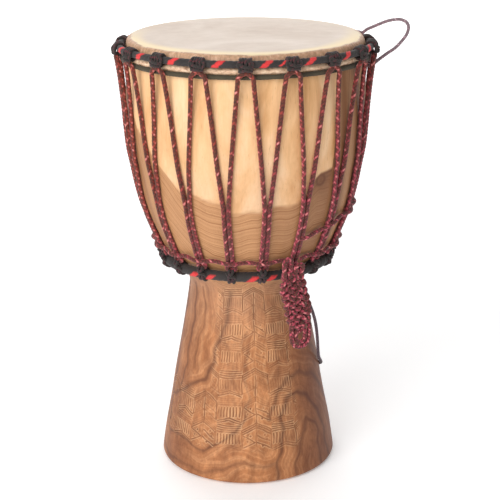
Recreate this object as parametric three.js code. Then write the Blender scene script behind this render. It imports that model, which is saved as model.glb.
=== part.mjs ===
// A rope-tuned goblet drum (djembe): a carved wooden shell, a goatskin held by steel rings,
// and one long rope laced between the hitches of the crown ring and of the bottom ring.
// Millimetres, +Z up, origin at the centre of the foot on the floor, -Y is the front.
import * as THREE from 'three';

// --- Driving dimensions ---------------------------------------------------------------
const HEIGHT = 600;               // floor to the playing surface
const SKIN = 1.0;                 // thickness of the hide
const GAP = 0.3;                  // clearance kept between touching pieces
const SIDES = 36;                 // facets of everything turned about the drum's axis
const HITCHES = 18;               // hitches on each of the two lacing rings
const ROPE_RADIUS = 2.75;         // lacing rope
const CORD_RADIUS = 1.5;          // black cord of the hitches
const THIN_CORD_RADIUS = 2.25;    // carrying loop and hanging cord

const CROWN = { r: 167.2, z: 590.5, core: 3, wrap: 4.8 };
const UNDER = { r: 163.5, z: 573.2, core: 2, wrap: 3.3 };
const BOTTOM = { r: 112.2, z: 298.6, core: 3.5, wrap: 4.8 };
const FLESH = { r: 161.4, z: 580.3, core: 2 };

const CROWN_EYE = { r: 171.05, z: 579.5 };   // where the rope runs through a crown hitch
const BOTTOM_EYE = { r: 118.0, z: 309.0 };   // where it runs through a bottom hitch
const CROWN_HITCH_WIDTH = 15;
const BOTTOM_HITCH_WIDTH = 6;

const WEAVE = { r: 129, z: 318.5, opening: 16 };  // one row of rope over the pairs of legs
const TAIL = { azimuth: 30, r: 132.5, top: 316, length: 119, width: 31, depth: 13 };

const FACET_MIDDLE = Math.cos(Math.PI / SIDES);   // radius at a facet's middle over its corner

// Outer outline of the shell, foot to bearing edge, as [radius, height].
const OUTSIDE = [
  [119, 0], [122.5, 8], [117.4, 43], [108.7, 89], [102.4, 126], [92.3, 180], [85, 222],
  [80, 255], [80.5, 265], [84, 275], [91, 285], [101, 299], [118.3, 320], [128.5, 342],
  [140, 372], [147, 400], [156, 450], [160, 502], [160, 531], [159, 560], [157, 590],
  [154.2, 597], [151, HEIGHT - SKIN - GAP],
];
// Hollow of the shell, bearing edge to foot.
const INSIDE = [
  [146, HEIGHT - SKIN - GAP], [144, 588], [145, 520], [137, 428], [125, 372], [103, 320],
  [68, 285], [65, 262], [77, 180], [93, 89], [107, 0],
];

// --- Materials --------------------------------------------------------------------------
const finish = (color, roughness, metalness = 0) =>
  new THREE.MeshStandardMaterial({ color, roughness, metalness });
const WOOD = finish(0xc08a58, 0.6);
const HIDE = finish(0xe3d3c2, 0.55);
const STEEL = finish(0x8c8c88, 0.35, 1);
const BLACK_CLOTH = finish(0x2f2c2a, 0.9);
const OLIVE_CLOTH = finish(0x4b4132, 0.9);
const BLACK_CORD = finish(0x26221f, 0.85);
const RED_ROPE = finish(0x7c2630, 0.8);
const GREY_CORD = finish(0x6e5560, 0.85);

const drum = new THREE.Group();

function addPiece(name, geometry, material) {
  const piece = new THREE.Mesh(geometry, material);
  piece.name = name;
  drum.add(piece);
  return piece;
}

// --- Geometry helpers -------------------------------------------------------------------
const radians = THREE.MathUtils.degToRad;

// A point by azimuth (degrees from the front towards +X), radius, height and sideways offset.
function place(azimuth, radius, height, sideways = 0) {
  const a = radians(azimuth);
  return new THREE.Vector3(
    radius * Math.sin(a) + sideways * Math.cos(a),
    -radius * Math.cos(a) + sideways * Math.sin(a),
    height,
  );
}

// A solid turned about the drum's axis from [radius, height] points. Facets are centred on
// every tenth degree, so that each hitch sits on a straight stretch of its ring.
function turned(outline) {
  const profile = outline.map(([r, z]) => new THREE.Vector2(r, z));
  const lathe = new THREE.LatheGeometry(profile, SIDES, Math.PI / SIDES, 2 * Math.PI);
  return lathe.rotateX(Math.PI / 2);
}

// Points on an arc about a centre [r, z]; angles in degrees, 0 is outwards, 90 is up.
function arc({ r, z }, radius, from, to, steps) {
  const points = [];
  for (let i = 0; i <= steps; i += 1) {
    const angle = radians(from + ((to - from) * i) / steps);
    points.push([r + radius * Math.cos(angle), z + radius * Math.sin(angle)]);
  }
  return points;
}

const closed = (outline) => [...outline, outline[0]];

// A round steel rod bent into a ring.
const rod = (ring, steps) => turned(closed(arc(ring, ring.core, 0, 360, steps).slice(0, -1)));

// Cloth wound round a ring, with its joint as an open slit towards the drum.
function wrapping(ring, steps) {
  const slit = 14;
  const outer = arc(ring, ring.wrap, 180 + slit - 360, 180 - slit, steps);
  const inner = arc(ring, ring.core + GAP, 180 - slit, 180 + slit - 360, steps);
  return turned(closed([...outer, ...inner]));
}

// A route made of straight stretches, for an extrusion that meets every given point.
class Route extends THREE.Curve {
  constructor(points) {
    super();
    this.points = points;
  }

  getPoint(t, target = new THREE.Vector3()) {
    const last = this.points.length - 1;
    return target.copy(this.points[Math.round(t * last)]);
  }

  getPointAt(u, target) {
    return this.getPoint(u, target);
  }

  getTangentAt(u, target = new THREE.Vector3()) {
    const last = this.points.length - 1;
    const i = Math.round(u * last);
    const before = this.points[Math.max(i - 1, 0)];
    const here = this.points[i];
    const after = this.points[Math.min(i + 1, last)];
    const into = here.clone().sub(before).normalize();
    const out = after.clone().sub(here).normalize();
    return target.copy(into.add(out)).normalize();
  }
}

// A rope of a given radius along a list of points.
function ropeAlong(points, radius, sides) {
  const section = new THREE.Shape();
  for (let i = 0; i < sides; i += 1) {
    const angle = (2 * Math.PI * i) / sides;
    const method = i === 0 ? 'moveTo' : 'lineTo';
    section[method](radius * Math.cos(angle), radius * Math.sin(angle));
  }
  return new THREE.ExtrudeGeometry(section, {
    steps: points.length - 1,
    extrudePath: new Route(points),
    bevelEnabled: false,
  });
}

// Evenly spaced points on a smooth curve through hand-placed ones.
const smoothed = (points, steps) => new THREE.CatmullRomCurve3(points).getSpacedPoints(steps);

const vectors = (list) => list.map(([x, y, z]) => new THREE.Vector3(x, y, z));

// --- Shell and skin ---------------------------------------------------------------------
addPiece('shell', turned(closed([...OUTSIDE, ...INSIDE])), WOOD);

// The hide lies over the bearing edge, comes down the outside and is rolled out round the
// flesh ring, with its trimmed edge tucked in under the crown ring.
function skinOutline() {
  const fold = FLESH.core + GAP;
  const side = [[151.6, HEIGHT - SKIN], [155, 597.3], [157.3, 590], [158.1, 577.5]];
  const under = arc(FLESH, fold, 205, 440, 6);
  const over = arc(FLESH, fold + SKIN, 440, 228, 6);
  const outside = [[159.1, 582.5], [158.4, 590], [156, 597.9], [152.2, HEIGHT]];
  return [[0, HEIGHT - SKIN], ...side, [158.2, 577.1], ...over.slice().reverse(),
    ...under.slice().reverse(), ...outside, [0, HEIGHT]];
}
addPiece('skin', turned(skinOutline()), HIDE);

// --- Rings ------------------------------------------------------------------------------
addPiece('flesh_ring', rod(FLESH, 6), STEEL);
addPiece('crown_ring', rod(CROWN, 6), STEEL);
addPiece('crown_ring_wrap', wrapping(CROWN, 6), BLACK_CLOTH);
addPiece('under_ring', rod(UNDER, 6), STEEL);
addPiece('under_ring_wrap', wrapping(UNDER, 6), OLIVE_CLOTH);
addPiece('bottom_ring', rod(BOTTOM, 6), STEEL);
addPiece('bottom_ring_wrap', wrapping(BOTTOM, 6), BLACK_CLOTH);

// --- Hitches ----------------------------------------------------------------------------
const RING_HOLE = CROWN.wrap + GAP;
const ROPE_HOLE = ROPE_RADIUS + GAP;
const CORD = 2 * CORD_RADIUS;
const HEXAGON = Math.cos(Math.PI / 6);   // a six-sided hole this much larger clears its circle

// The outline of two cord turns side by side: one round the ring, one round the rope.
function hitchShape(ring, eye) {
  const ringOuter = RING_HOLE + CORD;
  const eyeOuter = ROPE_HOLE + CORD;
  const across = (eye.r - ring.r) * FACET_MIDDLE;
  const along = eye.z - ring.z;
  const apart = Math.hypot(across, along);
  const heading = Math.atan2(along, across);
  const ringHalf = Math.acos((apart ** 2 + ringOuter ** 2 - eyeOuter ** 2) / (2 * apart * ringOuter));
  const eyeHalf = Math.acos((apart ** 2 + eyeOuter ** 2 - ringOuter ** 2) / (2 * apart * eyeOuter));
  const shape = new THREE.Shape();
  shape.absarc(0, 0, ringOuter, heading + ringHalf, heading + 2 * Math.PI - ringHalf, false);
  shape.absarc(across, along, eyeOuter, heading + Math.PI + eyeHalf, heading + 3 * Math.PI - eyeHalf, false);
  const ringHole = new THREE.Path();
  ringHole.absarc(0, 0, RING_HOLE / HEXAGON, 0, 2 * Math.PI, true);
  const ropeHole = new THREE.Path();
  ropeHole.absarc(across, along, ROPE_HOLE / HEXAGON, 0, 2 * Math.PI, true);
  shape.holes.push(ringHole, ropeHole);
  return shape;
}

function hitch(ring, eye, width, azimuth) {
  const shape = hitchShape(ring, eye);
  const band = new THREE.ExtrudeGeometry(shape, { depth: width, bevelEnabled: false, curveSegments: 3 });
  band.translate(0, 0, -width / 2);
  band.rotateX(Math.PI / 2);
  band.rotateZ(radians(azimuth - 90));
  const centre = place(azimuth, ring.r * FACET_MIDDLE, ring.z);
  return band.translate(centre.x, centre.y, centre.z);
}

const STEP = 360 / HITCHES;
for (let k = 0; k < HITCHES; k += 1) {
  const label = String(k + 1).padStart(2, '0');
  const crownHitch = hitch(CROWN, CROWN_EYE, CROWN_HITCH_WIDTH, k * STEP);
  const bottomHitch = hitch(BOTTOM, BOTTOM_EYE, BOTTOM_HITCH_WIDTH, (k + 0.5) * STEP);
  addPiece(`crown_hitch_${label}`, crownHitch, BLACK_CORD);
  addPiece(`bottom_hitch_${label}`, bottomHitch, BLACK_CORD);
}

// --- Lacing -----------------------------------------------------------------------------
const MEETING_HEIGHT = 400;        // below it the two legs of a pair run side by side
const PAIR_HALF = ROPE_RADIUS + 0.25;
const TOP_HALF = 11;               // a leg's distance beside its crown hitch
const BOTTOM_HALF = 6.6;           // a leg's distance beside its bottom hitch

// The centre line of a leg over the outside of the bowl, one rope radius off the wood.
function offsetOutside(index, distance) {
  const [r0, z0] = OUTSIDE[index - 1];
  const [r1, z1] = OUTSIDE[index + 1];
  const length = Math.hypot(r1 - r0, z1 - z0);
  const [r, z] = OUTSIDE[index];
  return [r + (distance * (z1 - z0)) / length, z - (distance * (r1 - r0)) / length];
}

// [radius, height] points of a leg, top first.
function legProfile() {
  const free = [[171.0, 573], [166, 531]];
  const lying = OUTSIDE
    .map((point, index) => ({ z: point[1], index }))
    .filter(({ z }) => z >= 320 && z <= 502)
    .map(({ index }) => offsetOutside(index, ROPE_RADIUS + 2 * GAP))
    .reverse();
  return [...free, ...lying];
}

// One leg from a crown hitch down to the bottom hitch half a step away; side is +1 or -1.
function leg(crownAzimuth, side) {
  const profile = legProfile();
  const [topRadius, topHeight] = profile[0];
  const topAngle = THREE.MathUtils.radToDeg(TOP_HALF / topRadius);
  const pairAngle = (radius) => STEP / 2 - THREE.MathUtils.radToDeg(PAIR_HALF / radius);
  const meetAngle = pairAngle(150);
  const points = profile.map(([r, z]) => {
    const share = (topHeight - z) / (topHeight - MEETING_HEIGHT);
    const angle = share < 1 ? topAngle + (meetAngle - topAngle) * share : pairAngle(r);
    return place(crownAzimuth + side * angle, r, z);
  });
  const bottomAzimuth = crownAzimuth + (side * STEP) / 2;
  points.push(place(bottomAzimuth, BOTTOM_EYE.r + 0.9, BOTTOM_EYE.z + 5, -side * BOTTOM_HALF));
  return points;
}

function crownRun(azimuth) {
  const r = CROWN_EYE.r * FACET_MIDDLE;
  return [-8.6, 8.6].map((sideways) => place(azimuth, r, CROWN_EYE.z, sideways));
}

function bottomRun(azimuth) {
  const r = BOTTOM_EYE.r * FACET_MIDDLE;
  return [-4.2, 4.2].map((sideways) => place(azimuth, r, BOTTOM_EYE.z, sideways));
}

// The rope starts and ends in the bottom hitch above the tail, after one trip round the drum.
function lacingPoints() {
  const points = [];
  const startEye = place(TAIL.azimuth, BOTTOM_EYE.r * FACET_MIDDLE, BOTTOM_EYE.z, 0.6);
  points.push(startEye, bottomRun(TAIL.azimuth)[1]);
  for (let k = 0; k < HITCHES; k += 1) {
    const azimuth = TAIL.azimuth + (k + 0.5) * STEP;
    points.push(...leg(azimuth, -1).reverse());
    points.push(...crownRun(azimuth));
    points.push(...leg(azimuth, 1));
    if (k < HITCHES - 1) points.push(...bottomRun(azimuth + STEP / 2));
  }
  const endEye = place(TAIL.azimuth, BOTTOM_EYE.r * FACET_MIDDLE, BOTTOM_EYE.z, -0.6);
  points.push(bottomRun(TAIL.azimuth)[0], endEye);
  return points;
}
addPiece('lacing_rope', ropeAlong(lacingPoints(), ROPE_RADIUS, 6), RED_ROPE);

function weavePoints() {
  const points = [];
  const steps = 64;
  const from = TAIL.azimuth + WEAVE.opening / 2;
  for (let i = 0; i <= steps; i += 1) {
    const azimuth = from + ((360 - WEAVE.opening) * i) / steps;
    points.push(place(azimuth, WEAVE.r, WEAVE.z));
  }
  return points;
}
addPiece('weave_rope', ropeAlong(weavePoints(), ROPE_RADIUS, 6), RED_ROPE);

// --- Rope tail --------------------------------------------------------------------------
// The spare rope, chained up into a flat hank that hangs from the bottom ring.
function tailGeometry() {
  const half = TAIL.width / 2;
  const straight = TAIL.length - 2 * half;
  const outline = new THREE.Shape();
  outline.absarc(0, 0, half, 0, Math.PI, false);
  outline.absarc(0, -straight, half, Math.PI, 2 * Math.PI, false);
  const slab = new THREE.ExtrudeGeometry(outline, {
    depth: TAIL.depth - 4, bevelEnabled: true, bevelThickness: 2, bevelSize: 2, bevelOffset: -2,
    bevelSegments: 1, curveSegments: 8,
  });
  slab.translate(0, 0, 2 - TAIL.depth / 2);
  slab.rotateX(Math.PI / 2);
  slab.rotateZ(radians(TAIL.azimuth));
  const top = place(TAIL.azimuth, TAIL.r, TAIL.top - half);
  return slab.translate(top.x, top.y, top.z);
}
addPiece('rope_tail', tailGeometry(), RED_ROPE);

// --- Carrying loop ----------------------------------------------------------------------
// A stiff cord tied at one end round a leg of the lacing and at the other round the crown ring.
const HANDLE_POINTS = [
  [177.4, 18.7, 560.2], [182.8, 19.4, 564.0], [190.1, 20.5, 569.2], [201.1, 24, 575.9],
  [210.6, 28, 584.7], [217.6, 33, 593.3], [220.3, 38, 601.9], [217.4, 42, 608.0],
  [210.3, 46, 610.8], [202.6, 50, 610.2], [192.2, 54, 607.4], [181.8, 57, 602.8],
  [173.2, 60.2, 598.6],
];
addPiece('handle_loop', ropeAlong(smoothed(vectors(HANDLE_POINTS), 30), THIN_CORD_RADIUS, 8), GREY_CORD);

// A band of two cord turns about a local axis along Y, placed at a centre and turned.
function band(hole, outer, width, sides) {
  const ring = new THREE.Shape();
  ring.absarc(0, 0, outer, 0, 2 * Math.PI, false);
  const opening = new THREE.Path();
  opening.absarc(0, 0, hole, 0, 2 * Math.PI, true);
  ring.holes.push(opening);
  const geometry = new THREE.ExtrudeGeometry(ring, {
    depth: width, bevelEnabled: false, curveSegments: sides,
  });
  return geometry.translate(0, 0, -width / 2);
}

const FRONT_TIE = { azimuth: 95.9, r: 168.75, z: 557, width: 9 };
function frontTie() {
  const tie = band(ROPE_RADIUS + 0.5, ROPE_RADIUS + 4, FRONT_TIE.width, 12);
  const from = place(96.18, 169.2, 560);
  const to = place(95.3, 166, 531);
  const along = from.clone().sub(to).normalize();
  tie.applyQuaternion(new THREE.Quaternion().setFromUnitVectors(new THREE.Vector3(0, 0, 1), along));
  const centre = place(FRONT_TIE.azimuth, FRONT_TIE.r, FRONT_TIE.z);
  return tie.translate(centre.x, centre.y, centre.z);
}
addPiece('handle_tie_front', frontTie(), GREY_CORD);

const REAR_TIE_AZIMUTH = 110;
function rearTie() {
  const tie = band(RING_HOLE, RING_HOLE + CORD, 7, 12);
  tie.rotateX(Math.PI / 2);
  tie.rotateZ(radians(REAR_TIE_AZIMUTH - 90));
  const centre = place(REAR_TIE_AZIMUTH, CROWN.r * FACET_MIDDLE, CROWN.z);
  return tie.translate(centre.x, centre.y, centre.z);
}
addPiece('handle_tie_rear', rearTie(), GREY_CORD);

// --- Hanging cord -----------------------------------------------------------------------
// A thin cord end that hangs from the lacing and leans on the flare of the foot.
const HANGING_POINTS = [
  [71.4, -98.3, 300], [72.2, -97.9, 287], [76.3, -95.9, 272], [81.8, -90.9, 256],
  [86.3, -84.8, 243.5], [89.5, -78, 232], [92.2, -69, 220], [94.8, -58, 203], [96.9, -46, 183],
  [98.4, -34, 163], [100.4, -20, 147], [103.3, -8, 137], [105.0, 6, 129], [105.4, 18, 123.5],
  [104.8, 26, 120],
];
addPiece('hanging_cord', ropeAlong(smoothed(vectors(HANGING_POINTS), 34), THIN_CORD_RADIUS, 8), GREY_CORD);

const KNOT_RADIUS = 4;
const knot = new THREE.SphereGeometry(KNOT_RADIUS, 10, 6);
const knotPiece = addPiece('hanging_cord_knot', knot, GREY_CORD);
knotPiece.position.set(104.4, 29.8, 118);

export default drum;
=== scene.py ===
"""Looks of the rope-tuned djembe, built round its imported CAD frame. Metres, +Z up, -Y front."""
import math

import bpy
import numpy as np
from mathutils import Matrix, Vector


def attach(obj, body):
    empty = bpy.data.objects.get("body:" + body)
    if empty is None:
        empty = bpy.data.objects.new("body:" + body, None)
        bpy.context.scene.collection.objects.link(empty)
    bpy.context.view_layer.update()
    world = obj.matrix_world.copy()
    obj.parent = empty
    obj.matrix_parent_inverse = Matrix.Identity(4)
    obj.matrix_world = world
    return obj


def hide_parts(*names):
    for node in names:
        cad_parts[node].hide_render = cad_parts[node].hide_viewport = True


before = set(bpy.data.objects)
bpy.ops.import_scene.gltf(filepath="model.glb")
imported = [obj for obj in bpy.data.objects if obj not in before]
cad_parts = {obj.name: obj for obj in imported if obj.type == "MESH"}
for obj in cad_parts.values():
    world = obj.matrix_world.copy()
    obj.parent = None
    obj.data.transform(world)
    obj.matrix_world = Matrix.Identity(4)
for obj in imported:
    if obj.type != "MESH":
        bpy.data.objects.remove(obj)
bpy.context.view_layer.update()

MM = 0.001
TAU = 2 * math.pi

# --- Sizes in millimetres, as the CAD model lays them out ---
HITCHES = 18
STEP = 360 / HITCHES
# Ropes and cords are a little fuller than the CAD's plain tubes.
ROPE_RADIUS = 3.05
WEAVE_RADIUS = ROPE_RADIUS * 0.86
PLAIT_ROPE = 3.0
CORD_RADIUS = 1.95
THIN_RADIUS = 2.25
CROWN_R, CROWN_Z, CROWN_WRAP = 167.0, 590.2, 4.4
UNDER_R, UNDER_Z, UNDER_WRAP = 163.6, 573.6, 3.0
FLESH_R, FLESH_Z = 161.4, 580.4
BOTTOM_R, BOTTOM_Z, BOTTOM_WRAP = 112.4, 298.8, 6.4
CROWN_EYE_R, CROWN_EYE_Z = 170.6, 579.6
BOTTOM_EYE_R, BOTTOM_EYE_Z = 117.8, 309.4
TAIL_AZIMUTH, TAIL_R = 30.0, 132.3

# Outer outline of the shell, foot to bearing edge, and its hollow: (radius, height).
OUTSIDE = [(116.5, 0.0), (119.6, 0.8), (121.6, 3), (122.5, 8), (117.4, 43), (108.7, 89), (102.4, 126),
           (92.3, 180), (85, 222), (80, 255), (80.5, 265), (84, 275), (91, 285), (101, 299),
           (118.3, 320), (128.5, 342), (140, 372), (147, 400), (152, 428), (156, 450),
           (158.4, 476), (160, 502), (160, 531), (159, 560), (157, 590), (154.2, 596.6), (151, 598.6)]
INSIDE = [(146, 598.6), (144, 588), (145, 520), (137, 428), (125, 372), (103, 320), (84, 300),
          (68, 285), (65, 262), (77, 180), (93, 89), (107, 0.0)]


# --- Small mathematics ---
def rise(low, high, x):
    """0 at low and 1 at high, smooth in between."""
    t = np.clip((np.asarray(x, float) - low) / (high - low), 0, 1)
    return t * t * (3 - 2 * t)


def band(start, full, fade, gone, x):
    """0 outside start to gone, 1 between full and fade, and smooth in between."""
    return rise(start, full, x) * (1 - rise(fade, gone, x))


def bell(distance, width):
    """1 at no distance, falling off over the width."""
    return np.exp(-(distance / width) ** 2)


def from_table(table, x):
    """The table's values at x, straight between its (x, value) rows."""
    keys, values = np.array(table, float).T
    return np.interp(x, keys, values)


def place(azimuth, radius, height, sideways=0.0):
    """A point by azimuth (degrees from the front towards +X), radius, height and sideways offset."""
    a = math.radians(azimuth)
    return np.array([radius * math.sin(a) + sideways * math.cos(a),
                     -radius * math.cos(a) + sideways * math.sin(a), height])


def catmull(points, count):
    """Evenly spaced points on a smooth curve through the given ones."""
    p = np.asarray(points, float)
    ring = np.vstack([2 * p[:1] - p[1:2], p, 2 * p[-1:] - p[-2:-1]])
    pieces = []
    t = np.linspace(0, 1, 24, endpoint=False)[:, None]
    for a, b, c, d in zip(ring[:-3], ring[1:-2], ring[2:-1], ring[3:]):
        pieces.append(0.5 * (2 * b + (c - a) * t + (2 * a - 5 * b + 4 * c - d) * t ** 2
                             + (3 * b - a - 3 * c + d) * t ** 3))
    return evenly(np.vstack(pieces + [p[-1:]]), count)


def smooth_outline(outline, count):
    """A smooth (radius, height) outline through the given one."""
    return catmull(np.c_[outline, np.zeros(len(outline))], count)[:, :2]


def distances(line):
    """How far along the line each of its points lies."""
    return np.r_[0, np.cumsum(np.linalg.norm(np.diff(line, axis=0), axis=1))]


def evenly(line, count):
    """The same polyline resampled at equal steps."""
    lengths = distances(line)
    wanted = np.linspace(0, lengths[-1], count)
    return np.stack([np.interp(wanted, lengths, line[:, k]) for k in range(3)], axis=1)


def eased(line, width):
    """The line averaged over a few neighbours, so that rope turns in curves and not in corners."""
    padded = np.vstack([line[:1]] * (width // 2) + [line] + [line[-1:]] * (width // 2))
    kernel = np.ones(width) / width
    return np.stack([np.convolve(padded[:, k], kernel, mode="valid") for k in range(3)], axis=1)


def moved_frames(line):
    """Twist-free normals carried along the line from its first point, and the sides across them."""
    tangent = np.gradient(line, axis=0)
    tangent /= np.linalg.norm(tangent, axis=1)[:, None]
    start = np.cross(tangent[0], (0.31, 0.17, 0.93))
    normals = [start / np.linalg.norm(start)]
    for t in tangent[1:]:
        n = normals[-1] - t * float(normals[-1] @ t)
        normals.append(n / np.linalg.norm(n))
    normal = np.array(normals)
    return normal, np.cross(tangent, normal)


# --- Meshes ---
def turned_points(r, z, azimuth):
    """Rows of (x, y, z) for radii, heights and azimuths in degrees."""
    a = np.radians(azimuth)
    return np.stack([r * np.sin(a), -r * np.cos(a), z], -1).reshape(-1, 3)


def spun(profile, azimuth):
    """Radius, height and azimuth of a (radius, height) profile turned round the axis."""
    shape = (len(profile), len(azimuth))
    r = np.broadcast_to(profile[:, 0:1], shape)
    z = np.broadcast_to(profile[:, 1:2], shape)
    return r, z, np.broadcast_to(azimuth, shape)


def make_object(name, vertices, faces, attributes=None):
    """A smooth mesh object from millimetre points, quads and per-point values."""
    vertices = np.asarray(vertices, np.float32) * MM
    faces = np.asarray(faces, np.int32)
    mesh = bpy.data.meshes.new(name)
    mesh.vertices.add(len(vertices))
    mesh.vertices.foreach_set("co", vertices.ravel())
    mesh.loops.add(faces.size)
    mesh.loops.foreach_set("vertex_index", faces.ravel())
    mesh.polygons.add(len(faces))
    mesh.polygons.foreach_set("loop_start", np.arange(0, faces.size, faces.shape[1], dtype=np.int32))
    mesh.update(calc_edges=True)
    mesh.validate()
    mesh.shade_smooth()
    for key, values in (attributes or {}).items():
        layer = mesh.attributes.new(key, "FLOAT", "POINT")
        layer.data.foreach_set("value", np.asarray(values, np.float32).ravel())
    piece = bpy.data.objects.new(name, mesh)
    bpy.context.scene.collection.objects.link(piece)
    return piece


def grid_faces(rows, columns, wrap_rows, wrap_columns):
    """Quads of a rows x columns grid of points, wrapped round where asked."""
    r = np.arange(rows if wrap_rows else rows - 1)
    c = np.arange(columns if wrap_columns else columns - 1)
    r0, c0 = np.meshgrid(r, c, indexing="ij")
    r1, c1 = (r0 + 1) % rows, (c0 + 1) % columns
    quads = np.stack([r0 * columns + c0, r0 * columns + c1, r1 * columns + c1, r1 * columns + c0], -1)
    return quads.reshape(-1, 4)


def tube_mesh(line, radius):
    """Points and faces of a tube whose radius is a rows x sides array; its ends get fans of quads."""
    rows, sides = radius.shape
    angle = np.arange(sides) * TAU / sides
    normal, side = moved_frames(line)
    ring = (normal[:, None, :] * np.cos(angle)[None, :, None]
            + side[:, None, :] * np.sin(angle)[None, :, None])
    points = (line[:, None, :] + ring * radius[:, :, None]).reshape(-1, 3)
    caps = []
    for row, flip in ((0, True), (rows - 1, False)):
        first = row * sides
        for k in range(1, sides // 2):
            quad = [first + k - 1, first + k, first + sides - k - 1, first + sides - k]
            caps.append(quad[::-1] if flip else quad)
    return points, np.vstack([grid_faces(rows, sides, False, True), np.array(caps)])


def join_parts(parts):
    """One list of points, faces and attributes from several."""
    points, faces, attributes, shift = [], [], {}, 0
    for p, f, a in parts:
        points.append(p)
        faces.append(f + shift)
        for key, values in a.items():
            attributes.setdefault(key, []).append(np.ravel(values))
        shift += len(p)
    return np.vstack(points), np.vstack(faces), {k: np.concatenate(v) for k, v in attributes.items()}


def braided(line, radius, sides=16, pitch=4.4, depth=0.42, red=True):
    """A round braided rope, each strand over two and under two. Every second strand one way and every
    fourth the other way is red. Returns points, faces and each point's redness, hump and fading."""
    along = distances(line)[:, None]
    turn = (np.arange(sides) / sides)[None, :]
    one_way, other_way = 4 * turn + along / pitch, 4 * turn - along / pitch
    one, other = np.floor(one_way).astype(int), np.floor(other_way).astype(int)
    one_across, other_across = one_way % 1, other_way % 1
    step = (one + other) % 4
    one_on_top = step < 2
    across = np.where(one_on_top, one_across, other_across)
    lengthwise = np.where(one_on_top, step + other_across, step - 2 + one_across) / 2
    hump = np.sqrt(np.clip(np.sin(math.pi * across), 0, 1)) * (0.45 + 0.55 * np.sin(math.pi * lengthwise))
    surface = radius - depth + depth * 1.35 * hump
    strength = np.where(one_on_top, np.where(one % 2 == 0, 1.0, 0.46), np.where(other % 4 == 1, 0.9, 0.2))
    redness = strength * rise(0.15, 0.85, hump)
    redness = redness * (0.72 + 0.28 * np.sin(12.99 * one + 78.23 * other + 0.11 * along))
    faded = rise(-150, 190, 0.9 * line[:, 0:1] + 1.2 * (430 - line[:, 2:3])) + 0 * turn
    points, faces = tube_mesh(line, surface)
    return points, faces, {"red": redness * (1.0 if red else 0.35), "hump": hump, "faded": faded}


# --- Materials ---
class Shader:
    """A Principled material with short helpers for the nodes that feed it. A name stands for a point
    value of the mesh, and three numbers fed to a colour socket are display values from 0 to 255."""

    def __init__(self, name, roughness=0.6, **sockets):
        self.material = bpy.data.materials.new(name)
        self.material.use_nodes = True
        self.nodes = self.material.node_tree.nodes
        self.links = self.material.node_tree.links
        self.bsdf = self.nodes["Principled BSDF"]
        self.bsdf.inputs["Roughness"].default_value = roughness
        for key, value in sockets.items():
            self.bsdf.inputs[key.replace("_", " ")].default_value = value

    def node(self, kind, inputs=None, **settings):
        n = self.nodes.new(kind)
        for key, value in settings.items():
            setattr(n, key, value)
        for key, value in (inputs or {}).items():
            self.feed(n.inputs[key], value)
        return n

    def feed(self, socket, value):
        if isinstance(value, str):
            value = self.node("ShaderNodeAttribute", attribute_name=value).outputs["Fac"]
        if isinstance(value, bpy.types.NodeSocket):
            self.links.new(value, socket)
        elif socket.type == "RGBA" and len(value) == 3:
            socket.default_value = linear(*value)
        else:
            socket.default_value = value

    def position(self, scale=(1, 1, 1)):
        coordinates = self.node("ShaderNodeTexCoord").outputs["Object"]
        return self.node("ShaderNodeMapping", {"Vector": coordinates, "Scale": scale}).outputs[0]

    def noise(self, scale, detail=4.0, rough=0.55, distortion=0.0, stretch=1.0, vector=None):
        """Noise over the piece, squeezed or drawn out up its height, or over a vector of its own."""
        sockets = {"Vector": vector or self.position((1, 1, stretch)), "Scale": scale,
                   "Detail": detail, "Roughness": rough, "Distortion": distortion}
        return self.node("ShaderNodeTexNoise", sockets).outputs["Fac"]

    def layers(self, name, wave, amount, scale, detail, rough):
        """Growth layers: noise along a point value, bent by the wave."""
        bent = self.add(name, self.times(wave, amount))
        along = self.node("ShaderNodeCombineXYZ", {"X": bent}).outputs[0]
        return self.noise(scale, detail, rough, vector=along)

    def times(self, a, b):
        return self.node("ShaderNodeMath", {0: a, 1: b}, operation="MULTIPLY").outputs[0]

    def add(self, a, b):
        return self.node("ShaderNodeMath", {0: a, 1: b}, operation="ADD").outputs[0]

    def climb(self, low, high, top=1.0):
        """A value from 0 at the low height to top at the high one."""
        height = self.node("ShaderNodeSeparateXYZ", {0: self.position()}).outputs["Z"]
        span = {"Value": height, "From Min": low, "From Max": high, "To Max": top}
        return self.node("ShaderNodeMapRange", span).outputs["Result"]

    def ramp(self, factor, *stops):
        """Colour ramp over (position, colour) stops; one number is a grey."""
        n = self.node("ShaderNodeValToRGB", {"Fac": factor})
        elements = n.color_ramp.elements
        while len(elements) < len(stops):
            elements.new(0.5)
        for element, (position, colour) in zip(elements, stops):
            element.position = position
            colour = (colour,) * 3 if isinstance(colour, (int, float)) else colour
            element.color = (*colour[:3], 1)
        return n.outputs["Color"]

    def tones(self, factor, *stops):
        """Colour ramp over (position, red, green, blue) stops with display values."""
        return self.ramp(factor, *((position, linear(*colour)) for position, *colour in stops))

    def mix(self, factor, a, b, blend="MIX"):
        n = self.node("ShaderNodeMix", data_type="RGBA", blend_type=blend)
        self.feed(n.inputs[0], factor)
        self.feed(n.inputs[6], a)
        self.feed(n.inputs[7], b)
        return n.outputs[2]

    def stain(self, amount, colour, pattern, dark, bright):
        """The colour multiplied by a ramp of the pattern, between two (position, tint) stops."""
        return self.mix(amount, colour, self.ramp(pattern, dark, bright), "MULTIPLY")

    def finish(self, colour, height=None, strength=0.3, distance=0.001, roughness=None):
        self.feed(self.bsdf.inputs["Base Color"], colour)
        if roughness is not None:
            self.feed(self.bsdf.inputs["Roughness"], roughness)
        if height is not None:
            sockets = {"Height": height, "Strength": strength, "Distance": distance}
            bump = self.node("ShaderNodeBump", sockets)
            self.links.new(bump.outputs[0], self.bsdf.inputs["Normal"])
        return self.material


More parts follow.
